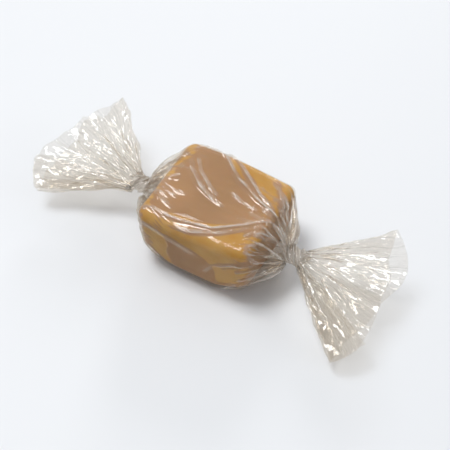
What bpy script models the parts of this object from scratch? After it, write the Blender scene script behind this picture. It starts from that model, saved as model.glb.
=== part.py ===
"""A wrapped caramel: a soft square tablet in one sheet of clear film, twisted shut at both ends.

The twists run along X. The origin is the middle of the flat underside that it lies on, and Z is up.
The tablet and its wrapper are made the same way: rings of points across X, skinned into a surface.
"""

import math
import random

import bmesh
import bpy
from mathutils import Matrix, Vector

# The caramel
CARAMEL_LENGTH = 0.0225
CARAMEL_WIDTH = 0.0196
CARAMEL_HEIGHT = 0.0145
TOP_EDGE_RADIUS = 0.0019
BOTTOM_EDGE_RADIUS = 0.0040
END_EDGE_RADIUS = 0.0025
BELLY = 0.0004  # how far the soft sides stand proud at the middle of the length
END_LIFT = 0.0028  # how far the underside curls up towards each end
FLAT_SHARE = 0.38  # the share of the length that stays flat underneath

# The film, which is far thinner than this in life
FILM_WALL = 0.00025
FILM_GAP = 0.0003
FILM_OUT = FILM_GAP + FILM_WALL

# Each end of the wrapper: a shoulder drawn in over the end face, a twisted neck and a pleated fan
SHOULDER_LENGTH = 0.0034
NECK_LENGTH = 0.0034
NECK_RADIUS = 0.0020
NECK_WAIST = 0.16  # how much thinner the neck is at its middle, as a share of its radius
NECK_TWIST = math.radians(240)  # from the shoulder's pleats to the fan's
FAN_LENGTH = 0.0168
PLEATS = 12
SHOULDER_PLEAT = 0.17  # pleat depths, as shares of the radius they are pressed into
NECK_PLEAT = 0.17
FAN_PLEAT = 0.0011  # and in the fan, up and down from its plane at the rim
FAN_GAP = 0.0032  # between the fan's two layers, at the middle of the rim
PLEAT_SEED = 11

# The two fans are not alike. In degrees: how far the outer pleats lean from the middle one, then the turn
# of the fan about the twist, its lift, and its swing to the side
RIGHT_FAN = {"spread": 51, "turn": 27, "lift": 3, "swing": -12}
LEFT_FAN = {"spread": 46, "turn": 14, "lift": 8, "swing": 9}

RING_POINTS = 4 * PLEATS
CARAMEL_RINGS = 12
CARAMEL_RING_POINTS = 32
EDGE_RINGS = 3
SHOULDER_RINGS = 4
NECK_RINGS = 7
FAN_RINGS = 6


def smooth(share):
    """0 to 1 with no sudden start or end."""
    share = min(1.0, max(0.0, share))
    return share * share * (3 - 2 * share)


def outline(half_width, low, high, low_radius, high_radius, count):
    """Points (y, z) evenly spaced round a rectangle with round corners.

    They start at the middle of the underside and run anticlockwise as seen from +X.
    """
    quarter = math.pi / 2
    corners = [
        (half_width - low_radius, low + low_radius, low_radius, -quarter),
        (half_width - high_radius, high - high_radius, high_radius, 0.0),
        (high_radius - half_width, high - high_radius, high_radius, quarter),
        (low_radius - half_width, low + low_radius, low_radius, 2 * quarter),
    ]
    steps_in_corner = 24
    fine = [Vector((0.0, low))]
    for centre_y, centre_z, radius, start in corners:
        for step in range(steps_in_corner + 1):
            angle = start + quarter * step / steps_in_corner
            fine.append(Vector((centre_y + radius * math.cos(angle), centre_z + radius * math.sin(angle))))
    fine.append(Vector((0.0, low)))

    travelled = [0.0]
    for before, after in zip(fine, fine[1:]):
        travelled.append(travelled[-1] + (after - before).length)
    points = []
    index = 0
    for number in range(count):
        wanted = travelled[-1] * number / count
        while travelled[index + 1] < wanted:
            index += 1
        share = (wanted - travelled[index]) / (travelled[index + 1] - travelled[index])
        points.append(fine[index].lerp(fine[index + 1], share))
    return points


def caramel_section(x, grow, count):
    """The outline of the tablet across X, at x, moved outwards by grow. It is drawn in at the end edges."""
    half_length = CARAMEL_LENGTH / 2 + grow
    edge = END_EDGE_RADIUS + grow
    past = max(0.0, abs(x) - (half_length - edge))
    drawn_in = edge - math.sqrt(max(0.0, edge * edge - past * past))
    along = abs(x) / half_length
    belly = BELLY * (1 - along * along)
    lift = END_LIFT * smooth((along - FLAT_SHARE) / (1 - FLAT_SHARE))
    least_radius = 0.0003
    return outline(
        CARAMEL_WIDTH / 2 + belly + grow - drawn_in,
        FILM_OUT - grow + lift + drawn_in,
        FILM_OUT + CARAMEL_HEIGHT + grow - drawn_in,
        max(least_radius, BOTTOM_EDGE_RADIUS + grow - drawn_in),
        max(least_radius, TOP_EDGE_RADIUS + grow - drawn_in),
        count,
    )


def skin(name, rings, capped):
    """A mesh object through the rings, which run from -X to +X. capped closes both ends."""
    shape = bmesh.new()
    rows = [[shape.verts.new(point) for point in ring] for ring in rings]
    for row, following in zip(rows, rows[1:]):
        for number, corner in enumerate(row):
            beside = (number + 1) % len(row)
            shape.faces.new((corner, row[beside], following[beside], following[number]))
    if capped:
        shape.faces.new(rows[0][::-1])
        shape.faces.new(rows[-1])
    mesh = bpy.data.meshes.new(name)
    shape.to_mesh(mesh)
    shape.free()
    mesh.shade_smooth()
    piece = bpy.data.objects.new(name, mesh)
    bpy.context.scene.collection.objects.link(piece)
    return piece


def finish_with(piece, colour, roughness, clear=0.0):
    """Gives a piece its own material."""
    material = bpy.data.materials.new(piece.name)
    material.use_nodes = True
    shader = material.node_tree.nodes["Principled BSDF"]
    shader.inputs["Base Color"].default_value = (*colour, 1.0)
    shader.inputs["Roughness"].default_value = roughness
    shader.inputs["Metallic"].default_value = 0.0
    shader.inputs["Transmission Weight"].default_value = clear
    piece.data.materials.append(material)


def make_caramel():
    """The tablet: one soft block, wider at its middle, with its underside curled up at both ends."""
    rings = []
    half_length = CARAMEL_LENGTH / 2
    flat_half = half_length - END_EDGE_RADIUS
    stations = [flat_half * (2 * number / CARAMEL_RINGS - 1) for number in range(CARAMEL_RINGS + 1)]
    # The end edges are quarter circles, closed by a flat end face.
    bend = [math.radians(angle) for angle in (30, 60, 90)]
    ends = [flat_half + END_EDGE_RADIUS * math.sin(angle) for angle in bend]
    for x in [-end for end in reversed(ends)] + stations + ends:
        section = caramel_section(x, 0.0, CARAMEL_RING_POINTS)
        rings.append([Vector((x, point.x, point.y)) for point in section])
    caramel = skin("caramel", rings, capped=True)
    finish_with(caramel, colour=(0.42, 0.23, 0.09), roughness=0.38)
    return caramel


def pleat_depths():
    """One number for each point of a ring: ridges are positive and valleys negative, none quite alike."""
    chance = random.Random(PLEAT_SEED)
    depths = []
    for _ in range(PLEATS):
        ridge = chance.uniform(0.55, 1.0)
        valley = chance.uniform(0.55, 1.0)
        depths += [0.0, ridge, 0.0, -valley]
    return depths


def edge_rings():
    """The film lies tight round the end edge of the tablet."""
    rings = []
    edge = END_EDGE_RADIUS + FILM_OUT
    end_x = CARAMEL_LENGTH / 2 + FILM_OUT
    whole_bend = math.radians(75)
    for step in range(1, EDGE_RINGS + 1):
        x = end_x - edge + edge * math.sin(whole_bend * step / EDGE_RINGS)
        rings.append([Vector((x, point.x, point.y)) for point in caramel_section(x, FILM_OUT, RING_POINTS)])
    return rings


def neck_point(angle, radius):
    """A point of the neck, from the middle of its near end. Angle 0 is towards +Y, and Z is up."""
    return Vector((0.0, radius * math.cos(angle), radius * math.sin(angle)))


def shoulder_rings(start, neck, angles, depths):
    """The shoulder runs straight from the end edge to the neck, and its pleats deepen on the way."""
    rings = []
    for step in range(1, SHOULDER_RINGS + 1):
        share = step / SHOULDER_RINGS
        ring = []
        for number, angle in enumerate(angles):
            point = start[number].lerp(neck + neck_point(angle, NECK_RADIUS), share)
            pleat = 1 + SHOULDER_PLEAT * depths[number] * smooth(1.5 * share)
            ring.append(Vector((point.x, point.y * pleat, neck.z + (point.z - neck.z) * pleat)))
        rings.append(ring)
    return rings


def neck_rings(neck, angles, depths, whole_twist):
    """The neck is wrung tight: its ridges run round it like the strands of a rope."""
    rings = []
    for step in range(1, NECK_RINGS + 1):
        share = step / NECK_RINGS
        waist = 1 - NECK_WAIST * math.sin(math.pi * share)
        along = Vector((NECK_LENGTH * share, 0.0, 0.0))
        ring = []
        for number, angle in enumerate(angles):
            radius = NECK_RADIUS * waist * (1 + NECK_PLEAT * depths[number])
            ring.append(neck + along + neck_point(angle + whole_twist * share, radius))
        rings.append(ring)
    return rings


def fan_rim(angle, spread, depths):
    """A point of the rim of a level fan, from the middle of the neck's far end.

    The fan is the tube pressed flat and opened out. Its rim is an arc, and its two layers lie a little
    apart, folded up and down together.
    """
    across = 2 * abs(angle / math.pi - 1) - 1
    layer = math.sqrt(max(0.0, 1 - across * across)) * (1 if angle < math.pi else -1)
    fold = FAN_PLEAT * depths[round((across + 1) * RING_POINTS / 4)]
    lean = spread * across
    return Vector((FAN_LENGTH * math.cos(lean), FAN_LENGTH * math.sin(lean), layer * FAN_GAP / 2 + fold))


def fan_rings(root, fan, angles, depths):
    """Straight pleats run from the neck out to the rim."""
    rings = []
    placing = (
        Matrix.Rotation(math.radians(fan["swing"]), 3, "Z")
        @ Matrix.Rotation(math.radians(-fan["lift"]), 3, "Y")
        @ Matrix.Rotation(math.radians(fan["turn"]), 3, "X")
    )
    for step in range(1, FAN_RINGS + 1):
        share = step / FAN_RINGS
        ring = []
        for number, angle in enumerate(angles):
            flat_angle = (angle + NECK_TWIST) % (2 * math.pi)
            start = neck_point(flat_angle, NECK_RADIUS * (1 + NECK_PLEAT * depths[number]))
            rim = fan_rim(flat_angle, math.radians(fan["spread"]), depths)
            ring.append(root + placing @ start.lerp(rim, share))
        rings.append(ring)
    return rings


def wrapper_end(fan, depths):
    """The rings of one end of the wrapper, from the end edge of the tablet to the fan's rim, towards +X."""
    angles = [2 * math.pi * number / RING_POINTS - math.pi / 2 for number in range(RING_POINTS)]
    neck = Vector((CARAMEL_LENGTH / 2 + FILM_OUT + SHOULDER_LENGTH, 0.0, FILM_OUT + CARAMEL_HEIGHT / 2))
    root = neck + Vector((NECK_LENGTH, 0.0, 0.0))
    rings = edge_rings()
    rings += shoulder_rings(rings[-1], neck, angles, depths)
    rings += neck_rings(neck, angles, depths, NECK_TWIST + math.radians(fan["turn"]))
    rings += fan_rings(root, fan, angles, depths)
    return rings


def make_wrapper():
    """The film: a sleeve round the tablet, and an end like the one above on each side, all one thin wall."""
    depths = pleat_depths()
    right = wrapper_end(RIGHT_FAN, depths)
    left = wrapper_end(LEFT_FAN, depths)
    # Seen from its own side the left end turns the same way round, as a twist is wrung with two hands
    left = [[Vector((-point.x, point.y, point.z)) for point in ring] for ring in left]

    sleeve_half = CARAMEL_LENGTH / 2 - END_EDGE_RADIUS
    sleeve_steps = 8
    sleeve = []
    for number in range(sleeve_steps + 1):
        x = sleeve_half * (2 * number / sleeve_steps - 1)
        sleeve.append([Vector((x, point.x, point.y)) for point in caramel_section(x, FILM_OUT, RING_POINTS)])
    wrapper = skin("wrapper", left[::-1] + sleeve + right, capped=False)

    wall = wrapper.modifiers.new("film wall", "SOLIDIFY")
    wall.thickness = FILM_WALL
    wall.offset = -1.0
    wall.use_rim = True
    finish_with(wrapper, colour=(0.93, 0.92, 0.90), roughness=0.12, clear=1.0)
    return wrapper


for old in list(bpy.data.objects):
    bpy.data.objects.remove(old)
make_caramel()
make_wrapper()
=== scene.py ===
import math

import bpy
import numpy as np
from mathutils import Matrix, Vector
from mathutils.bvhtree import BVHTree


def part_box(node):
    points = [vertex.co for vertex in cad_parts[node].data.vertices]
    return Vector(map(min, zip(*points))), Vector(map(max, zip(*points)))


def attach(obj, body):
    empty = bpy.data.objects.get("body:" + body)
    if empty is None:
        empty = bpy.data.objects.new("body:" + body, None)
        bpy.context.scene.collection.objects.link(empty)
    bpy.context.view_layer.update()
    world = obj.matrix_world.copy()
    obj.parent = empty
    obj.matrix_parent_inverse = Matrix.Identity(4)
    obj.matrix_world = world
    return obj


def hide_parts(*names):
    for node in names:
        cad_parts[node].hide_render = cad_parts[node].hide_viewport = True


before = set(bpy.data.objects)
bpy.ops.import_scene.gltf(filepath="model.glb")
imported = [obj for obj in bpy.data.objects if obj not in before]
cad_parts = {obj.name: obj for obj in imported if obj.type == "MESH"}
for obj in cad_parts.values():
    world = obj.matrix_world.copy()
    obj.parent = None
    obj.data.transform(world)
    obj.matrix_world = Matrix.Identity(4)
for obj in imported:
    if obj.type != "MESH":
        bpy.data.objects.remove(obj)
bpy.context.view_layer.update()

bpy.ops.object.select_all(action="DESELECT")

# -----------------------------------------------------------------------------------------------------------
# The caramel: sugar, butter and milk boiled together, poured in a slab and cut in blocks while it is soft.
# Its edges slump and round off, most of all below and at the ends, and its faces dent as it is handled.
# -----------------------------------------------------------------------------------------------------------
block_low, block_high = (np.array(corner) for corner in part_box("caramel"))
block_low[2] = 0.00010  # the real film under it is far thinner than the one it is packed with
block_centre = (block_low + block_high) / 2
half_size = (block_high - block_low) / 2
TOP_EDGE = 0.0019  # the radii of its edges
BOTTOM_EDGE = 0.0040
END_EDGE = 0.0025
SIDE_BELLY = 0.0004  # how far the sides stand proud at the middle of the length
END_LIFT = 0.0028  # how far the underside curls up towards each end
FLAT_SHARE = 0.38  # the share of the length that lies flat
SLUMP = 0.0011  # how far the top sinks at its far right corner
LEAN = 0.0005  # how far the top leans over
WIDE_DENTS = (0.012, 0.00016)  # how far apart the dents lie, and how deep they are
FINE_DENTS = (0.0030, 0.00003)
BLOCK_CUTS = 119  # the faces are divided this often each way


def smooth(share):
    """0 to 1 with no sudden start or end."""
    share = np.clip(share, 0.0, 1.0)
    return share * share * (3 - 2 * share)


def block_distance(points):
    """How far points lie outside the block as it was cut, negative inside it."""
    x, y, z = points[..., 0], points[..., 1], points[..., 2]
    along = np.minimum(1.0, np.abs(x) / half_size[0])
    low = block_low[2] + END_LIFT * smooth((along - FLAT_SHARE) / (1 - FLAT_SHARE))
    half_width = half_size[1] - SIDE_BELLY * along * along
    half_height = (block_high[2] - low) / 2
    radius = BOTTOM_EDGE + (TOP_EDGE - BOTTOM_EDGE) * smooth((z - low) / (2 * half_height))
    end = np.minimum(radius, END_EDGE)
    past_side = np.abs(y) - (half_width - radius)
    past_top = np.abs(z - low - half_height) - (half_height - radius)
    side = np.hypot(np.maximum(past_side, 0), np.maximum(past_top, 0))
    side += np.minimum(np.maximum(past_side, past_top), 0) - radius
    past_end = np.abs(x) - (half_size[0] - end)
    rounded = np.hypot(np.maximum(past_end, 0), np.maximum(side + end, 0))
    return rounded + np.minimum(np.maximum(past_end, side + end), 0) - end


def way_out(points):
    """The direction straight out of the block at points."""
    step = 0.00002
    way = np.empty_like(points)
    for axis in range(3):
        move = np.zeros(3)
        move[axis] = step
        way[..., axis] = block_distance(points + move) - block_distance(points - move)
    return way / np.maximum(np.linalg.norm(way, axis=-1, keepdims=True), 1e-12)


def waves(points, length, seed):
    """A smooth uneven field of about -1 to 1, whose waves are about that long."""
    chance = np.random.default_rng(seed)
    wave_count = 9
    field = np.zeros(points.shape[:-1])
    for _ in range(wave_count):
        way = chance.normal(size=3)
        way *= chance.uniform(0.6, 1.5) / (length * np.linalg.norm(way))
        field += np.sin(2 * math.pi * (points @ way + chance.uniform()))
    return field * math.sqrt(2 / wave_count) / 1.5


def slumped(points):
    """Where points of the freshly cut block, or of the film on it, come to lie as it settles."""
    share = (points - block_centre) / half_size
    upper = smooth((share[..., 2] + 1) / 2)
    moved = points.copy()
    far_corner = smooth((share[..., 0] + 0.5) / 1.5) * smooth((share[..., 1] + 0.7) / 1.7)
    past_end = np.abs(share[..., 0]) - 1
    moved[..., 2] -= SLUMP * upper * far_corner * np.exp(-np.maximum(0, past_end) * 3)
    moved[..., 1] += LEAN * upper * (1 - smooth(past_end * 2)) * (0.8 * share[..., 0] - 0.3)
    return moved


def read_points(piece):
    points = np.empty(len(piece.data.vertices) * 3)
    piece.data.vertices.foreach_get("co", points)
    return points.reshape(-1, 3)


def write_points(piece, points):
    piece.data.vertices.foreach_set("co", points.astype(np.float32).ravel())
    piece.data.update()


bpy.ops.mesh.primitive_cube_add(size=1.0, location=block_centre)
caramel = bpy.context.object
caramel.name = "caramel_block"
caramel.scale = 2 * half_size
bpy.ops.object.transform_apply(location=True, rotation=False, scale=True)
bpy.ops.object.mode_set(mode="EDIT")
bpy.ops.mesh.select_all(action="SELECT")
bpy.ops.mesh.subdivide(number_cuts=BLOCK_CUTS)
bpy.ops.object.mode_set(mode="OBJECT")
block_points = read_points(caramel)

# every point is drawn in to the rounded block, and then the faces are dented
for _ in range(6):
    block_points -= way_out(block_points) * block_distance(block_points)[:, None]
dents = WIDE_DENTS[1] * np.maximum(0, waves(block_points, WIDE_DENTS[0], 3) - 0.2)
dents += FINE_DENTS[1] * np.maximum(0, waves(block_points, FINE_DENTS[0], 4))
block_points -= way_out(block_points) * dents[:, None]
write_points(caramel, slumped(block_points))
bpy.ops.object.shade_smooth()


def new_material(name):
    """A material with nodes, and two short ways to add and link them."""
    material = bpy.data.materials.new(name)
    material.use_nodes = True
    tree = material.node_tree

    def add(kind, values=(), **settings):
        node = tree.nodes.new("ShaderNode" + kind)
        for setting, value in settings.items():
            setattr(node, setting, value)
        for socket, value in dict(values).items():
            node.inputs[socket].default_value = value
        return node

    return material, add, tree.links.new


# under a film that clings it looks wet and deep, and behind a little air it looks paler and matt; the tan
# behind air has part of the film's milky reflection painted into it
AMBER = (0.555, 0.304, 0.078, 1)  # the deeper patches where the film clings
GOLD = (0.592, 0.368, 0.138, 1)  # and the paler ones
PAINTED_VEIL_TAN = (0.425, 0.251, 0.134, 1)  # behind air
CLINGS_WITHIN = 0.135  # millimetres between film and caramel
STANDS_OFF_AT = 0.185
soft_caramel, add, link = new_material("soft_caramel")
shader = soft_caramel.node_tree.nodes["Principled BSDF"]
shader.inputs["Subsurface Weight"].default_value = 0.30
shader.inputs["Subsurface Radius"].default_value = (1.0, 0.45, 0.15)
shader.inputs["Subsurface Scale"].default_value = 0.0012
shader.inputs["Specular IOR Level"].default_value = 0.10
place = add("TexCoord")
blotches = add("TexNoise", {"Scale": 260.0, "Detail": 4.0, "Roughness": 0.6})
link(place.outputs["Object"], blotches.inputs["Vector"])
film_gap = add("Attribute", attribute_name="film_gap")
uneven_gap = add("Math", {1: 0.07}, operation="MULTIPLY_ADD")
link(blotches.outputs["Fac"], uneven_gap.inputs[0])
link(film_gap.outputs["Fac"], uneven_gap.inputs[2])
apart = add("MapRange", {"From Min": CLINGS_WITHIN, "From Max": STANDS_OFF_AT})
link(uneven_gap.outputs[0], apart.inputs["Value"])
cloudy = add("TexNoise", {"Scale": 95.0, "Detail": 3.0})
link(place.outputs["Object"], cloudy.inputs["Vector"])
paler = add("MapRange", {"From Min": 0.36, "From Max": 0.56})
link(cloudy.outputs["Fac"], paler.inputs["Value"])
wetted = add("Mix", data_type="RGBA")
wetted.inputs[6].default_value = AMBER
wetted.inputs[7].default_value = GOLD
link(paler.outputs["Result"], wetted.inputs[0])
# painted reflection: where the film stands off, the tan with the film's milky veil painted in takes the
# place of the wetted colour
look = add("Mix", data_type="RGBA")
link(wetted.outputs[2], look.inputs[6])
look.inputs[7].default_value = PAINTED_VEIL_TAN
link(apart.outputs["Result"], look.inputs[0])
shade = add("MapRange", {"From Min": 0.3, "From Max": 0.7, "To Min": 0.88, "To Max": 1.08})
link(cloudy.outputs["Fac"], shade.inputs["Value"])
tone = add("Mix", {0: 1.0}, data_type="RGBA", blend_type="MULTIPLY")
link(look.outputs[2], tone.inputs[6])
link(shade.outputs["Result"], tone.inputs[7])
link(tone.outputs[2], shader.inputs["Base Color"])
satin = add("MapRange", {"To Min": 0.34, "To Max": 0.52})
link(blotches.outputs["Fac"], satin.inputs["Value"])
link(satin.outputs["Result"], shader.inputs["Roughness"])
drag = add("Mapping", {"Scale": (300.0, 1500.0, 2600.0)})
link(place.outputs["Object"], drag.inputs["Vector"])
knife_marks = add("TexNoise", {"Scale": 1.0, "Detail": 3.0})
link(drag.outputs["Vector"], knife_marks.inputs["Vector"])
relief = add("Bump", {"Strength": 0.35, "Distance": 0.00003})
link(knife_marks.outputs["Fac"], relief.inputs["Height"])
link(relief.outputs["Normal"], shader.inputs["Normal"])
caramel.data.materials.append(soft_caramel)
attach(caramel, "root")
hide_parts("caramel")

# -----------------------------------------------------------------------------------------------------------
# The film: one clear sheet, cut straight off a roll and wrapped once round the block with a lap under it.
# Both ends are gathered, wrung and left to spring open into pleated fans. It is laid out here as it is
# folded, and then let go until no part of the sheet is stretched.
# -----------------------------------------------------------------------------------------------------------
SHEET_LENGTH = 0.0838
SHEET_WIDTH = 0.0800
FILM_REST = 0.00003  # how far the film stands off the block where it clings to it
FILM_WALL = 0.00003
LOWEST = 0.00003  # how far its middle stays above the table
FILM_BOTTOM_EDGE = 0.0030  # it cuts the corner below, where the block is rounder
SLACK = 1.006  # the sheet is wrapped this much looser than the block is round
LAP_TURN = 0.04  # how far past the middle of the underside the lap starts, in turns
SHOULDER = 0.0034
NECK = 0.0034
NECK_RADIUS = 0.0018
FAN = 0.0168
FAN_GAP = 0.0030
TWIST = math.radians(240)
EARLY_TWIST = math.radians(38)  # what the shoulder takes of it
# degrees of spread, turn, lift and swing, how far the rim curls up, and the seed of its pleats
RIGHT_FAN = {"spread": 47, "turn": 26, "lift": 3, "swing": -8, "curl": 0.0022, "seed": 21}
LEFT_FAN = {"spread": 44, "turn": 14, "lift": 8, "swing": 9, "curl": 0.0016, "seed": 34}


def outline(turns, half_width, low, high, low_radius, high_radius):
    """Points (y, z) at those turns round a rectangle with round corners, and its length."""
    bend = np.linspace(0.0, math.pi / 2, 13)
    ys = [np.zeros(1)]
    zs = [np.full(1, low)]
    corners = (
        (half_width - low_radius, low + low_radius, low_radius, -0.5),
        (half_width - high_radius, high - high_radius, high_radius, 0.0),
        (high_radius - half_width, high - high_radius, high_radius, 0.5),
        (low_radius - half_width, low + low_radius, low_radius, 1.0),
    )
    for centre_y, centre_z, radius, start in corners:
        ys.append(centre_y + radius * np.cos(bend + start * math.pi))
        zs.append(centre_z + radius * np.sin(bend + start * math.pi))
    ys = np.concatenate(ys + ys[:1])
    zs = np.concatenate(zs + zs[:1])
    travelled = np.concatenate([[0.0], np.cumsum(np.hypot(np.diff(ys), np.diff(zs)))])
    place = (turns % 1.0) * travelled[-1]
    return np.interp(place, travelled, ys), np.interp(place, travelled, zs), travelled[-1]


def film_ring(x, turns):
    """The sheet's ring round the block at x, at those turns round it, and the ring's length."""
    edge = END_EDGE + FILM_REST
    past = max(0.0, x - (half_size[0] + FILM_REST - edge))
    drawn_in = edge - math.sqrt(max(0.0, edge * edge - past * past))
    along = x / half_size[0]
    lift = END_LIFT * float(smooth((along - FLAT_SHARE) / (1 - FLAT_SHARE)))
    least = 0.0004
    y, z, length = outline(
        turns,
        half_size[1] - SIDE_BELLY * along * along + FILM_REST - drawn_in,
        block_low[2] - FILM_REST + lift + drawn_in,
        block_high[2] + FILM_REST - drawn_in,
        max(least, FILM_BOTTOM_EDGE - drawn_in),
        max(least, TOP_EDGE - drawn_in),
    )
    return np.stack([np.full_like(y, x), y, z], axis=-1), length


def turned_about(points, axis, degrees):
    angle = math.radians(degrees)
    one, two = ((1, 2), (2, 0), (0, 1))[axis]
    turned = points.copy()
    turned[..., one] = math.cos(angle) * points[..., one] - math.sin(angle) * points[..., two]
    turned[..., two] = math.sin(angle) * points[..., one] + math.cos(angle) * points[..., two]
    return turned


def placed_as(fan, points):
    """Points of a level fan, turned to where the fan really points."""
    for axis, degrees in ((0, fan["turn"]), (1, -fan["lift"]), (2, fan["swing"])):
        points = turned_about(points, axis, degrees)
    return points


def folded(place, least, most, chance):
    """A zigzag of heights about -1 to 1 at place, and the way from there to its nearest fold.

    The folds lie least to most apart, each on a thread of the sheet, because only there can it be sharp.
    """
    count = int(place.max() / least) + 3
    corners = np.concatenate([[0.0], np.cumsum(chance.uniform(least, most, count))]) - most
    corners = np.unique(place[np.abs(place - corners[:, None]).argmin(1)])
    side = np.where(np.arange(len(corners)) % 2, 1.0, -1.0)
    heights = side * chance.uniform(0.45, 1.0, len(corners))
    return np.interp(place, corners, heights), np.abs(place - corners[:, None]).min(axis=0)


def crumpled(along, across, length, chance):
    """A faceted field of about -1 to 1 over the flat sheet, from folds in several directions."""
    fold_count = 6
    field = np.zeros(np.broadcast(along, across).shape)
    for _ in range(fold_count):
        angle = chance.uniform(0, math.pi)
        size = length * chance.uniform(0.7, 1.8)
        place = (math.cos(angle) * along + math.sin(angle) * across) / size + chance.uniform()
        field += 4 * np.abs(place - np.floor(place + 0.5)) - 1
    return field / math.sqrt(fold_count)


def spaced(start, end, places, gaps):
    """Places from start to end, as far apart as gaps says at those places."""
    found = [start]
    while found[-1] < end:
        found.append(found[-1] + np.interp(found[-1], places, gaps))
    found = np.array(found)
    return start + (found - start) * (end - start) / (found[-1] - start)


# the sheet's threads lie closest over the block's top and front and in the fans, where small creases show
ROW_PLACES = (0.0120, 0.0130, 0.0240, 0.0250)
ROW_GAPS = (0.00022, 0.00043, 0.00043, 0.00025)
COLUMN_PLACES = (0.022, 0.025, 0.060, 0.063)
COLUMN_GAPS = (0.00039, 0.00020, 0.00020, 0.00039)
half_rows = spaced(0.0001, SHEET_LENGTH / 2, ROW_PLACES, ROW_GAPS)
along_sheet = np.concatenate([-half_rows[::-1], half_rows])
across_sheet = spaced(0.0, SHEET_WIDTH, COLUMN_PLACES, COLUMN_GAPS)
COLUMNS = len(across_sheet)
tube_length = film_ring(0.0, np.zeros(1))[1]
turns = (across_sheet - SHEET_WIDTH / 2) / (tube_length * SLACK) + 0.5 + LAP_TURN
angles = 2 * math.pi * turns - math.pi / 2
block_middle = np.array([0.0, 0.0, block_centre[2]])


GATHERS = (0.0008, 0.0024)  # how far apart the folds lie, least and most, from the finest to the broadest
STRANDS = (0.0020, 0.0046)
PANELS = (0.0040, 0.0090)


def sheet_half(fan):
    """The rows from the sheet's middle towards +X, a number for where each point is, and the ways to folds.

    The number is -2 on the block, -1 on the shoulder, 0 in the neck, and past that how far into the fan it
    is. The ways are those from each thread to its nearest fold, and to its nearest broad fold.
    """
    chance = np.random.default_rng(fan["seed"])
    edge = END_EDGE + FILM_REST
    edge_x = half_size[0] + FILM_REST - edge
    edge_turn = math.radians(72)  # the film leaves the end's edge before it is quite round it
    edge_length = edge * edge_turn
    neck_x = half_size[0] + FILM_REST + SHOULDER
    gather, gather_gap = folded(across_sheet, *GATHERS, chance)
    strand, strand_gap = folded(across_sheet, *STRANDS, chance)
    panel, panel_gap = folded(across_sheet, *PANELS, chance)
    broad_gap = np.minimum(strand_gap, panel_gap)

    # from the end edge each thread of the sheet runs straight to the neck, then round it, then into the fan
    last = film_ring(edge_x + edge * math.sin(edge_turn), turns)[0]
    early = angles + EARLY_TWIST
    radius = NECK_RADIUS * (1 + 0.07 * gather + 0.15 * strand + 0.25 * panel)
    mouth = np.stack([np.full(COLUMNS, neck_x), radius * np.cos(early), radius * np.sin(early)], axis=-1)
    mouth += block_middle
    shoulder_way = np.linalg.norm(mouth - last, axis=-1)
    neck_way = 0.8 * math.hypot(NECK, NECK_RADIUS * (TWIST - EARLY_TWIST))
    flat = (angles + TWIST) % (2 * math.pi)
    across = 2 * np.abs(flat / math.pi - 1) - 1
    layer = np.sqrt(np.maximum(0, 1 - across**2)) * np.where(flat < math.pi, 1, -1)
    lean = math.radians(fan["spread"]) * across
    rim = np.stack([FAN * np.cos(lean), FAN * np.sin(lean), layer * FAN_GAP / 2], axis=-1)
    root = np.stack([np.zeros(COLUMNS), radius * np.cos(flat), radius * np.sin(flat)], axis=-1)
    big_fold = np.interp(np.arcsin(across), np.linspace(-1.6, 1.6, 8), chance.uniform(-1, 1, 8))
    wave = np.sin(across * 3.6 + chance.uniform(0, 6))

    rows = []
    reaches = []
    for length in half_rows:
        past = length - edge_x
        if past < edge_length:
            x = length if past < 0 else edge_x + edge * math.sin(past / edge)
            rows.append(film_ring(x, turns)[0])
            reaches.append(np.full(COLUMNS, -2.0))
            continue
        way = past - edge_length
        share = np.clip(way / shoulder_way, 0, 1)
        point = last + (mouth - last) * share[:, None]
        depth = 0.0012 * smooth(2.2 * share) * smooth(2.4 * (1 - share) + 0.2)
        spoke = (point - block_middle) * np.array([0.0, 1.0, 1.0])
        spoke /= np.linalg.norm(spoke, axis=-1, keepdims=True)
        point[:, 0] += (0.7 * gather + 0.5 * strand + 0.6) * depth
        point += spoke * ((0.4 * gather + 0.3 * strand) * depth)[:, None]

        wrung = np.clip((way - shoulder_way) / neck_way, 0, 1)
        turned = early + (TWIST + math.radians(fan["turn"]) - EARLY_TWIST) * wrung
        waist = radius * (1 - 0.2 * np.sin(math.pi * wrung))
        neck = np.stack([neck_x + NECK * wrung, waist * np.cos(turned), waist * np.sin(turned)], axis=-1)

        # the small pleats of the neck run together into a few broad panels towards the rim
        reach = way - shoulder_way - neck_way
        part = np.maximum(reach, 0) / FAN
        fanned = root + (rim - root) * part[:, None]
        fanned[:, 2] += 0.0005 * gather * smooth(6 * part) * (1 - 0.95 * smooth(2.2 * part))
        fanned[:, 2] += 0.0012 * strand * smooth(4 * part) * (1 - 0.40 * smooth(part))
        fanned[:, 2] += 0.0019 * panel * smooth(1.5 * part)
        fanned[:, 2] += (0.0014 * big_fold + 0.0010 * wave + fan["curl"] * (across**2 - 0.3)) * part**1.3
        fanned[:, 1] += 0.0005 * np.roll(strand, 9) * smooth(2.5 * part)
        fanned = placed_as(fan, fanned)
        fanned[:, 0] += neck_x + NECK
        place = np.where((reach < 0)[:, None], neck, fanned) + block_middle
        rows.append(np.where((way < shoulder_way)[:, None], point, place))
        reaches.append(np.where(way < shoulder_way, -1.0, np.maximum(reach, 0)))
    return np.array(rows), np.array(reaches), np.minimum(gather_gap, broad_gap), broad_gap


left, left_reach, left_fine, left_broad = sheet_half(LEFT_FAN)
right, right_reach, right_fine, right_broad = sheet_half(RIGHT_FAN)
mirrored = np.array([-1.0, 1.0, 1.0])
film = np.concatenate([left[::-1] * mirrored, right])
reach = np.concatenate([left_reach[::-1], right_reach])
on_shoulder = reach == -1
in_neck = reach == 0
in_fan = reach > 0
middle_row = len(half_rows)

rest_along = np.diff(along_sheet)[:, None, None]
rest_across = np.diff(across_sheet)[:, None, None]


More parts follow.
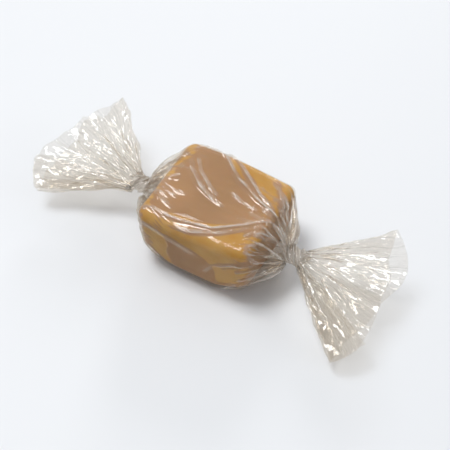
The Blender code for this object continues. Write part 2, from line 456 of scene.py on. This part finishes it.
def pull(one, two, rest, strength):
    """Moves two equal sets of points together or apart towards that distance."""
    gap = two - one
    length = np.maximum(np.linalg.norm(gap, axis=-1, keepdims=True), 1e-9)
    move = gap * (0.5 * strength * (length - rest) / length)
    one += move
    two -= move


def pull_rows(grid, step, shift, rest, strength):
    """pull() between each row and the one step on, shift columns over, in sets that don't share a row."""
    rows, columns = grid.shape[:2]
    near = slice(max(0, -shift), columns - max(0, shift))
    far = slice(max(0, shift), columns - max(0, -shift))
    for first in range(2 * step):
        picked = slice(first, rows - step, 2 * step)
        pull(grid[picked, near], grid[first + step::2 * step, far], rest[picked], strength[picked, near])


def let_go(sheet, across_strength, cap, rounds):
    """Lets the sheet settle to its own lengths, held at the necks and kept out of the block."""
    start = sheet.copy()
    flipped = sheet.transpose(1, 0, 2)
    flipped_strength = across_strength.transpose(1, 0, 2)
    full = np.ones_like(across_strength)
    diagonal = np.hypot(rest_along, rest_across[None, :, 0])
    two_rows = rest_along[:-1] + rest_along[1:]
    two_columns = rest_across[:-1] + rest_across[1:]
    for turn in range(rounds):
        pull_rows(sheet, 1, 0, rest_along, full)
        pull_rows(flipped, 1, 0, rest_across, flipped_strength)
        pull_rows(sheet, 1, 1, diagonal, 0.5 * across_strength)
        pull_rows(sheet, 1, -1, diagonal, 0.5 * across_strength)
        pull_rows(flipped, 2, 0, two_columns, 0.04 * flipped_strength)
        pull_rows(sheet, 2, 0, two_rows, 0.1 * full)
        move = sheet - start
        far = np.maximum(np.linalg.norm(move, axis=-1, keepdims=True), 1e-9)
        sheet[...] = start + move * np.minimum(1.0, cap / far)
        sheet[in_neck] = start[in_neck]
        if turn % 2 == 1 or turn == rounds - 1:
            near = np.abs(sheet[..., 0]) < half_size[0] + FILM_REST
            points = sheet[near]
            distance = block_distance(points)
            inside = distance < FILM_REST
            points[inside] += way_out(points[inside]) * (FILM_REST - distance[inside])[:, None]
            sheet[near] = points
        sheet[..., 2] = np.maximum(sheet[..., 2], LOWEST)


# how strongly the sheet keeps its width on the block, the shoulder and the fan, and how far a point may move
across_strength = np.where(on_shoulder, 0.6, 1.0)
across_strength = np.where(in_fan, 0.02 + 0.9 * smooth(reach / 0.006), across_strength)[..., None]
cap = np.where(on_shoulder, 0.0010, 0.0005)
cap = np.where(in_fan, 0.0004 + 0.0022 * smooth(reach / 0.012), cap)[..., None]
let_go(film, across_strength, cap, 120)

# between its folds a fan is smooth, as the film is too stiff for anything finer
evened = 0.5 * smooth(reach / 0.003)[..., None]
for _ in range(4):
    film[:, 1:-1] += evened[:, 1:-1] * ((film[:, :-2] + film[:, 2:]) / 2 - film[:, 1:-1])
    film[1:-1] += evened[1:-1] * ((film[:-2] + film[2:]) / 2 - film[1:-1])

# Folds and air pockets, at (along, round) in millimetres on the sheet: round starts at the middle of the top
# and grows towards the front. The twists pull the folds together at the middle of each end of the top
MM = 0.001
FOLDS = (
    (0.62, ((-10.4, -10.2), (-3.2, -8.8), (1.2, -5.3), (6.5, -2.7), (11.0, -1.4), (16.0, -1.0))),
    (0.52, ((-4.6, -11.5), (-1.9, -9.8), (1.7, -7.3), (6.3, -4.1), (11.0, -2.2))),
    (0.50, ((-8.9, -6.2), (-7.3, -3.2), (-3.7, -0.1), (-0.1, 1.4), (2.6, 1.9))),
    (0.50, ((-11.4, 9.4), (-8.2, 8.6), (-3.0, 8.1), (2.9, 7.1), (7.5, 3.7), (11.0, 0.2), (16.0, 0.0))),
    (0.34, ((-8.0, -7.0), (-5.6, -3.4), (-2.2, -0.9), (0.6, 0.6))),
    (0.32, ((-5.8, 10.1), (-0.6, 9.5), (4.2, 7.7), (8.6, 4.4), (11.5, 1.6))),
    (0.28, ((1.4, -1.9), (4.6, -0.6), (8.2, -0.2))),
    (0.34, ((-12.5, 3.4), (-9.5, 0.6), (-7.9, -1.2))),
    (0.30, ((-12.5, 6.0), (-9.8, 4.9), (-6.6, 4.6))),
    (0.30, ((-14.0, -3.0), (-10.5, -5.8), (-9.0, -7.2))),
    (0.30, ((7.0, -9.9), (9.6, -6.4), (13.0, -4.0))),
    (0.34, ((8.2, 6.6), (10.6, 4.2), (14.0, 2.6))),
    (0.26, ((9.0, 9.6), (11.4, 7.0), (14.0, 5.4))),
    (0.34, ((-13.0, 13.5), (-9.0, 12.6), (-3.0, 13.4), (2.0, 14.6))),
    (0.36, ((13.5, 13.0), (9.0, 13.2), (4.5, 15.6), (2.5, 18.5))),
    (0.26, ((-13.5, 18.0), (-9.5, 19.0), (-6.0, 21.5))),
    (0.26, ((13.5, 18.5), (9.0, 19.8), (6.0, 22.4))),
    (0.50, ((-13.5, -13.0), (-7.0, -14.6), (0.0, -17.8), (5.0, -18.8))),
    (0.46, ((13.5, -14.5), (7.0, -13.4), (1.0, -14.6), (-3.0, -13.0))),
    (0.32, ((13.5, -18.5), (8.0, -19.0), (3.0, -21.8))),
    (0.32, ((-13.5, -18.5), (-9.0, -19.4), (-4.0, -22.6))),
)

# small folds run in like rays from both ends of each face: (where its middle is, how far they reach)
FACE_MIDDLES = ((-1.0, 7.5), (17.0, 4.5), (-17.5, 4.5))
RAYS = 8
ENDS_AT = 11.4
ray_chance = np.random.default_rng(12)
small_folds = []
for end in (-1, 1):
    for middle, longest in FACE_MIDDLES:
        for spread in np.linspace(-8.0, 8.0, RAYS):
            spread += ray_chance.uniform(-0.9, 0.9)
            bend, reach_in = ray_chance.uniform(-0.5, 0.5), ray_chance.uniform(0.4, 1.0) * longest
            small_folds.append((ray_chance.uniform(0.08, 0.26), (
                (end * (ENDS_AT + 3.1), middle + 0.45 * spread),
                (end * ENDS_AT, middle + 0.80 * spread),
                (end * (ENDS_AT - 0.5 * reach_in), middle + 0.92 * spread + bend),
                (end * (ENDS_AT - reach_in), middle + spread),
            )))
AIR_POCKETS = (
    ((-9.7, 7.7), (-3.0, 7.2), (2.6, 6.2), (6.6, 3.4), (9.0, 0.2), (8.4, -2.4), (2.0, -5.8), (-2.2, -8.9),
     (-8.2, -9.6), (-9.8, -2.0)),
    ((-4.8, 12.5), (-0.8, 12.9), (3.4, 14.4), (5.4, 17.4), (5.0, 22.2), (-4.6, 21.6)),
    ((-8.6, -13.2), (-2.0, -12.4), (7.8, -13.4), (8.4, -18.4), (2.0, -20.4), (-7.6, -19.6)),
)
FOLD_WIDTH = 0.00018
CREST = 0.00006  # the radius at the top of a fold
FOLD_SLOPES = 0.0022  # how far the flat slopes on both sides of a fold reach
SLOPE_SHARE = 0.16  # how high they start, as a share of the fold's height
PLEAT = 0.00050  # how far a fold lies over to one side
PLEAT_SHARE = 0.20  # how high that side stands
AIR = 0.00020


def distance_to_run(along, across, start, end):
    """How far sheet places lie from the straight run between two of them, with a sign for the side."""
    from_start = (along - start[0], across - start[1])
    run = (end[0] - start[0], end[1] - start[1])
    share = (from_start[0] * run[0] + from_start[1] * run[1]) / (run[0]**2 + run[1]**2)
    share = np.clip(share, 0, 1)
    side = np.sign(from_start[0] * run[1] - from_start[1] * run[0])
    return side * np.hypot(from_start[0] - share * run[0], from_start[1] - share * run[1]), share


def fold_line(along, across, corners):
    """The distance of sheet places from a line of corners, and how high the fold stands there, 0 to 1."""
    gap = np.full(along.shape, np.inf)
    through = np.zeros(along.shape)
    count = len(corners) - 1
    for number in range(count):
        away, share = distance_to_run(along, across, corners[number], corners[number + 1])
        nearer = np.abs(away) < np.abs(gap)
        gap[nearer] = away[nearer]
        through[nearer] = (number + share[nearer]) / count
    fade = smooth(6 * through) * smooth(6 * (1 - through))
    return gap, fade * (0.75 + 0.25 * np.sin(9 * through + 400 * corners[0][1]))


def pocket_depth(along, across, corners):
    """How deep inside a polygon of corners sheet places lie, negative outside it."""
    nearest = np.full(along.shape, np.inf)
    inside = np.zeros(along.shape, bool)
    for start, end in zip(corners, corners[1:] + corners[:1]):
        nearest = np.minimum(nearest, np.abs(distance_to_run(along, across, start, end)[0]))
        crosses = (start[1] > across) != (end[1] > across)
        slope = (end[0] - start[0]) / ((end[1] - start[1]) or 1e-9)
        inside ^= crosses & (along < start[0] + (across - start[1]) * slope)
    return np.where(inside, nearest, -nearest)


def scaled(corners):
    return tuple((along * MM, across * MM) for along, across in corners)


sheet_along = np.broadcast_to(along_sheet[:, None], film.shape[:2])
sheet_round = np.broadcast_to((turns - 0.5)[None, :] * tube_length, film.shape[:2])
from_middle = np.abs(sheet_along)

# the gathers of the two ends run on a little way over the block, and fade
fine_gap = np.where(sheet_along < 0, left_fine, right_fine)
broad_gap = np.where(sheet_along < 0, left_broad, right_broad)
gather_gap = np.where(reach >= 0, broad_gap, fine_gap)
gather_size = 0.30 * smooth((from_middle - 0.0085) / 0.0040) * (1 - 0.5 * smooth((reach - 0.002) / 0.008))

# where it is wrung the gathers lie close, so that their crests take up more of the sheet and whiten more
from_neck = np.abs(np.abs(film[..., 0]) - half_size[0] - SHOULDER - NECK / 2)
wrung = smooth(1.5 - from_neck / 0.0020)
gather_gap *= 1 - 0.88 * wrung
gather_size *= 1 + 1.2 * wrung
lift = 0.00007 * smooth((from_middle - 0.0075) / 0.0035) * np.exp(-fine_gap / 0.0003)

fold_gap = np.full(film.shape[:2], 5 * MM)
fold_size = np.zeros(film.shape[:2])
for size, corners in FOLDS + tuple(small_folds):
    gap, standing = fold_line(sheet_along, sheet_round, scaled(corners))
    lift += size * MM * standing * np.exp((CREST - np.hypot(gap, CREST)) / FOLD_WIDTH)
    lift += SLOPE_SHARE * size * MM * standing * np.maximum(0, 1 - np.abs(gap) / FOLD_SLOPES)
    lain_over = smooth(gap / 0.00015) * smooth((PLEAT - gap) / 0.00025 + 0.5)
    lift += PLEAT_SHARE * size * MM * standing * lain_over
    felt = size * standing * np.exp(-np.abs(gap) / FOLD_WIDTH)
    nearest = felt > fold_size * np.exp(-np.abs(fold_gap) / FOLD_WIDTH)
    fold_gap = np.where(nearest, gap, fold_gap)
    fold_size = np.where(nearest, size * standing, fold_size)
fold_size *= 1 - smooth((np.abs(fold_gap) - 0.0007) / 0.0002)
wander = 0.0005 * crumpled(sheet_along, sheet_round, 0.0060, np.random.default_rng(8))
sleeve_facets = crumpled(sheet_along, sheet_round, 0.0055, np.random.default_rng(9))
for corners in AIR_POCKETS:
    depth = pocket_depth(sheet_along, sheet_round, scaled(corners)) + wander
    lift += smooth(depth / 0.0007 + 0.3) * (AIR + 0.00008 * sleeve_facets)
lift += np.maximum(0, 0.00006 * (sleeve_facets - 0.3))
lift += 0.00005 * smooth((turns - 0.78) / 0.2)
under = smooth((film[..., 2] - 0.0004) / 0.0030)
lift *= smooth((0.020 - from_middle) / 0.006) * np.maximum(under, 0.12) * (reach < 0)

# the open fans are crumpled all over, in hard creases that run every way
fan_crumple = crumpled(sheet_along, sheet_round, 0.0064, np.random.default_rng(5))
fine_crumple = crumpled(sheet_along, sheet_round, 0.0024, np.random.default_rng(6))
lift += 0.00046 * smooth(reach / 0.006) * fan_crumple + 0.00006 * smooth(reach / 0.004) * fine_crumple
outwards = np.cross(np.gradient(film, axis=1), np.gradient(film, axis=0))
outwards /= np.maximum(np.linalg.norm(outwards, axis=-1, keepdims=True), 1e-12)
film += outwards * lift[..., None]
film = slumped(film)
film[..., 2] = np.maximum(film[..., 2], LOWEST)


def sheet_piece(name, first, last):
    """The sheet from one row to another as a mesh with a wall, with the flat sheet as its UV map."""
    grid = film[first:last + 1]
    rows, columns = grid.shape[:2]
    number = np.arange(rows * columns, dtype=np.int32).reshape(rows, columns)
    faces = np.stack([number[:-1, :-1], number[:-1, 1:], number[1:, 1:], number[1:, :-1]], axis=-1)
    faces = faces.reshape(-1, 4)
    mesh = bpy.data.meshes.new(name)
    mesh.from_pydata(grid.reshape(-1, 3).tolist(), [], faces.tolist())
    row_places = along_sheet[first:last + 1] + SHEET_LENGTH / 2
    flat_sheet = np.stack(np.meshgrid(across_sheet, row_places), axis=-1).reshape(-1, 2) / SHEET_LENGTH
    corner_places = flat_sheet[faces.ravel()].astype(np.float32)
    mesh.uv_layers.new(name="flat_sheet").data.foreach_set("uv", corner_places.ravel())
    handled = smooth((from_middle - 0.011) / 0.006)  # 0 on the block, 1 where the film was gathered
    for attribute, values in (
        ("creased", handled),
        ("gather_gap", gather_gap / MM),
        ("gather_size", gather_size),
        ("fold_gap", fold_gap / MM),
        ("fold_size", fold_size),
    ):
        values = np.clip(values[first:last + 1], -5, 5).astype(np.float32).ravel()
        mesh.attributes.new(attribute, "FLOAT", "POINT").data.foreach_set("value", values)
    mesh.shade_smooth()
    piece = bpy.data.objects.new(name, mesh)
    bpy.context.scene.collection.objects.link(piece)
    wall = piece.modifiers.new("film wall", "SOLIDIFY")
    wall.thickness = FILM_WALL
    wall.offset = 0.0
    bpy.context.view_layer.objects.active = piece
    bpy.ops.object.modifier_apply(modifier=wall.name)
    return piece


# the sheet is kept as three meshes that meet in the necks, so that each can be this fine
neck_length = float(np.median(np.abs(sheet_along[in_neck])))
left_neck, right_neck = np.searchsorted(along_sheet, (-neck_length, neck_length))
sleeve = sheet_piece("film_sleeve", left_neck, right_neck)
left_twist = sheet_piece("film_left_twist", 0, left_neck)
right_twist = sheet_piece("film_right_twist", right_neck, len(along_sheet) - 1)

# how far the film stands off the caramel, in millimetres, as its finish needs it: where the film stands off,
# part of its reflection is painted into the caramel as a paler tan
film_surface = BVHTree.FromObject(sleeve, bpy.context.evaluated_depsgraph_get())
gaps = [film_surface.find_nearest(point)[3] / MM for point in map(Vector, read_points(caramel))]
caramel.data.attributes.new("film_gap", "FLOAT", "POINT").data.foreach_set("value", gaps)

clear_film, add, link = new_material("clear_film")
clear_film.node_tree.nodes.remove(clear_film.node_tree.nodes["Principled BSDF"])
output = clear_film.node_tree.nodes["Material Output"]
flat_map = add("UVMap", uv_map="flat_sheet")
creased = add("Attribute", attribute_name="creased")

# small flat facets, each tilted its own way, with a hard crease where two meet
FACET = 0.0042
FACET_TILT = 0.16
facets = add("TexVoronoi", {"Scale": SHEET_LENGTH / FACET, "Randomness": 1.0}, voronoi_dimensions="2D")
link(flat_map.outputs["UV"], facets.inputs["Vector"])
from_centre = add("VectorMath", operation="SUBTRACT")
link(flat_map.outputs["UV"], from_centre.inputs[0])
link(facets.outputs["Position"], from_centre.inputs[1])
own_tilt = add("VectorMath", {1: (0.5, 0.5, 0.5)}, operation="SUBTRACT")
link(facets.outputs["Color"], own_tilt.inputs[0])
facet_rise = add("VectorMath", operation="DOT_PRODUCT")
link(from_centre.outputs[0], facet_rise.inputs[0])
link(own_tilt.outputs[0], facet_rise.inputs[1])
most_facet = FACET_TILT * SHEET_LENGTH
facet_amount = add("MapRange", {"To Min": 0.25 * most_facet, "To Max": most_facet})
link(creased.outputs["Fac"], facet_amount.inputs["Value"])
facet_height = add("Math", operation="MULTIPLY")
link(facet_rise.outputs["Value"], facet_height.inputs[0])
link(facet_amount.outputs["Result"], facet_height.inputs[1])

# the crests of the gathers, thinner than the mesh can show them
gather_gap_mm = add("Attribute", attribute_name="gather_gap")
gather_part = add("Attribute", attribute_name="gather_size")
GATHER_WIDTH = 0.08  # millimetres
gap_in_widths = add("Math", {1: -1 / GATHER_WIDTH}, operation="MULTIPLY")
link(gather_gap_mm.outputs["Fac"], gap_in_widths.inputs[0])
gather_crest = add("Math", operation="EXPONENT")
link(gap_in_widths.outputs[0], gather_crest.inputs[0])
gather_here = add("Math", operation="MULTIPLY")
link(gather_crest.outputs[0], gather_here.inputs[0])
link(gather_part.outputs["Fac"], gather_here.inputs[1])

# each fold has a crest, and a second, fainter edge where it lies over: (mm from the crest, how white)
FOLD_PROFILE = (
    (-0.26, 0.0), (-0.07, 0.30), (0.0, 1.0), (0.09, 0.42), (0.42, 0.26), (0.50, 0.70), (0.60, 0.0),
)
PROFILE_START, PROFILE_END = -0.40, 1.0
fold_gap_mm = add("Attribute", attribute_name="fold_gap")
fold_part = add("Attribute", attribute_name="fold_size")
fold_place = add("MapRange", {"From Min": PROFILE_START, "From Max": PROFILE_END})
link(fold_gap_mm.outputs["Fac"], fold_place.inputs["Value"])
fold_crest = add("ValToRGB")
fold_crest.color_ramp.elements[1].color = (0, 0, 0, 1)
for place_mm, white in FOLD_PROFILE:
    stop = fold_crest.color_ramp.elements.new((place_mm - PROFILE_START) / (PROFILE_END - PROFILE_START))
    stop.color = (white, white, white, 1)
link(fold_place.outputs["Result"], fold_crest.inputs["Fac"])
crease_here = add("Math", operation="MULTIPLY_ADD")
link(fold_crest.outputs["Color"], crease_here.inputs[0])
link(fold_part.outputs["Fac"], crease_here.inputs[1])
link(gather_here.outputs[0], crease_here.inputs[2])

broken = add("TexNoise", {"Scale": 34.0, "Detail": 2.0})
link(flat_map.outputs["UV"], broken.inputs["Vector"])
how_sharp = add("MapRange", {"From Min": 0.36, "From Max": 0.64, "To Min": 0.20, "To Max": 1.20})
link(broken.outputs["Fac"], how_sharp.inputs["Value"])
crest_here = add("Math", operation="MULTIPLY")
link(how_sharp.outputs["Result"], crest_here.inputs[0])
link(crease_here.outputs[0], crest_here.inputs[1])
CREST_RISE = 0.00012
crest_and_facets = add("Math", {1: CREST_RISE}, operation="MULTIPLY_ADD")
link(crest_here.outputs[0], crest_and_facets.inputs[0])
link(facet_height.outputs[0], crest_and_facets.inputs[2])
crinkle_relief = add("Bump", {"Strength": 1.0, "Distance": 1.0})
link(crest_and_facets.outputs[0], crinkle_relief.inputs["Height"])

clear = add("BsdfTransparent", {"Color": (0.965, 0.953, 0.934, 1)})
gloss = add("BsdfGlossy", {"Color": (1, 1, 1, 1), "Roughness": 0.04})
link(crinkle_relief.outputs["Normal"], gloss.inputs["Normal"])
haze = add("BsdfDiffuse", {"Color": (0.90, 0.84, 0.77, 1)})
link(crinkle_relief.outputs["Normal"], haze.inputs["Normal"])

# the film whitens along its creases, and in streaks where it was gathered
streaks = add("Mapping", {"Scale": (150.0, 12.0, 1.0)})
link(flat_map.outputs["UV"], streaks.inputs["Vector"])
streaky = add("TexNoise", {"Scale": 1.0, "Detail": 2.0})
link(streaks.outputs["Vector"], streaky.inputs["Vector"])
whitened = add("MapRange", {"From Min": 0.45, "From Max": 0.75, "To Min": 0.004, "To Max": 0.050})
link(streaky.outputs["Fac"], whitened.inputs["Value"])
hazy_part = add("Math", operation="MULTIPLY")
link(whitened.outputs["Result"], hazy_part.inputs[0])
link(creased.outputs["Fac"], hazy_part.inputs[1])
white_part = add("Math", {1: 1.10}, operation="MULTIPLY_ADD", use_clamp=True)
link(crest_here.outputs[0], white_part.inputs[0])
link(hazy_part.outputs[0], white_part.inputs[2])
hazy = add("MixShader")
link(white_part.outputs[0], hazy.inputs[0])
link(clear.outputs[0], hazy.inputs[1])
link(haze.outputs[0], hazy.inputs[2])
facing = add("LayerWeight", {"Blend": 0.5})
glancing = add("Math", {1: 7.0}, operation="POWER")
link(facing.outputs["Facing"], glancing.inputs[0])

# it mirrors less where it lies on the caramel, and a little more where it bends sharply at a fold
clinging = add("MapRange", {"To Min": 0.008, "To Max": 0.042})
link(creased.outputs["Fac"], clinging.inputs["Value"])
glancing_part = add("MapRange", {"To Min": 0.30, "To Max": 0.85})
link(creased.outputs["Fac"], glancing_part.inputs["Value"])
mirrored_part = add("Math", operation="MULTIPLY_ADD")
link(glancing.outputs[0], mirrored_part.inputs[0])
link(glancing_part.outputs["Result"], mirrored_part.inputs[1])
bent = add("Math", {1: 0.05}, operation="MULTIPLY_ADD")
link(fold_part.outputs["Fac"], bent.inputs[0])
link(clinging.outputs["Result"], bent.inputs[2])
link(bent.outputs[0], mirrored_part.inputs[2])
surface = add("MixShader")
link(mirrored_part.outputs[0], surface.inputs[0])
link(hazy.outputs[0], surface.inputs[1])
link(gloss.outputs[0], surface.inputs[2])
link(surface.outputs[0], output.inputs["Surface"])
for piece in (sleeve, left_twist, right_twist):
    piece.data.materials.append(clear_film)
    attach(piece, "root")
    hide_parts("wrapper")

# -----------------------------------------------------------------------------------------------------------
# The studio: a plain pale table under soft lamps, seen from above the front of the candy and to its right.
# -----------------------------------------------------------------------------------------------------------
scene = bpy.context.scene
scene.cycles.transparent_max_bounces = 64
scene.view_settings.view_transform = "Standard"
bpy.ops.object.select_all(action="DESELECT")
bpy.ops.mesh.primitive_plane_add(size=6.0, location=(0, 0, 0))
floor = bpy.context.object
floor.name = "floor"
pale_table = new_material("pale_table")[0]
table_finish = pale_table.node_tree.nodes["Principled BSDF"]
table_finish.inputs["Base Color"].default_value = (0.724, 0.724, 0.724, 1)
table_finish.inputs["Roughness"].default_value = 0.6
floor.data.materials.append(pale_table)

world = bpy.data.worlds.new("studio")
scene.world = world
world.use_nodes = True
sky = world.node_tree.nodes["Background"]
way_up = world.node_tree.nodes.new("ShaderNodeTexCoord")
height = world.node_tree.nodes.new("ShaderNodeSeparateXYZ")
world.node_tree.links.new(way_up.outputs["Generated"], height.inputs[0])
walls = world.node_tree.nodes.new("ShaderNodeMapRange")
walls.inputs["From Min"].default_value = 0.10
walls.inputs["From Max"].default_value = 0.75
walls.inputs["To Min"].default_value = 0.12
walls.inputs["To Max"].default_value = 0.62
world.node_tree.links.new(height.outputs["Z"], walls.inputs["Value"])
world.node_tree.links.new(walls.outputs["Result"], sky.inputs["Strength"])
sky.inputs["Color"].default_value = (0.92, 0.95, 1.0, 1)

TARGET = Vector((0.0015, 0.0, 0.0070))
VIEW_TURN = math.radians(30)
VIEW_RISE = math.radians(54)
VIEW_DISTANCE = 0.22
camera_data = bpy.data.cameras.new("camera")
camera = bpy.data.objects.new("camera", camera_data)
scene.collection.objects.link(camera)
camera_data.lens = 95
camera_data.clip_start = 0.01
backwards = Vector((math.sin(VIEW_TURN), -math.cos(VIEW_TURN), math.tan(VIEW_RISE))).normalized()
camera.location = TARGET + backwards * VIEW_DISTANCE
camera.rotation_euler = backwards.to_track_quat("Z", "Y").to_euler()
scene.camera = camera


def add_lamp(name, place, size, power):
    """A square soft lamp that looks at the candy."""
    data = bpy.data.lights.new(name, "AREA")
    data.energy = power
    data.size = size
    data.color = (0.955, 0.975, 1.0)
    lamp = bpy.data.objects.new(name, data)
    lamp.location = place
    lamp.rotation_euler = (Vector(place) - TARGET).to_track_quat("Z", "Y").to_euler()
    scene.collection.objects.link(lamp)


add_lamp("top", (-0.18, -0.03, 0.57), 0.20, 2.3)
add_lamp("window", (-0.22, 0.62, 0.27), 0.19, 1.5)
add_lamp("side", (0.55, 0.10, 0.30), 0.16, 0.5)
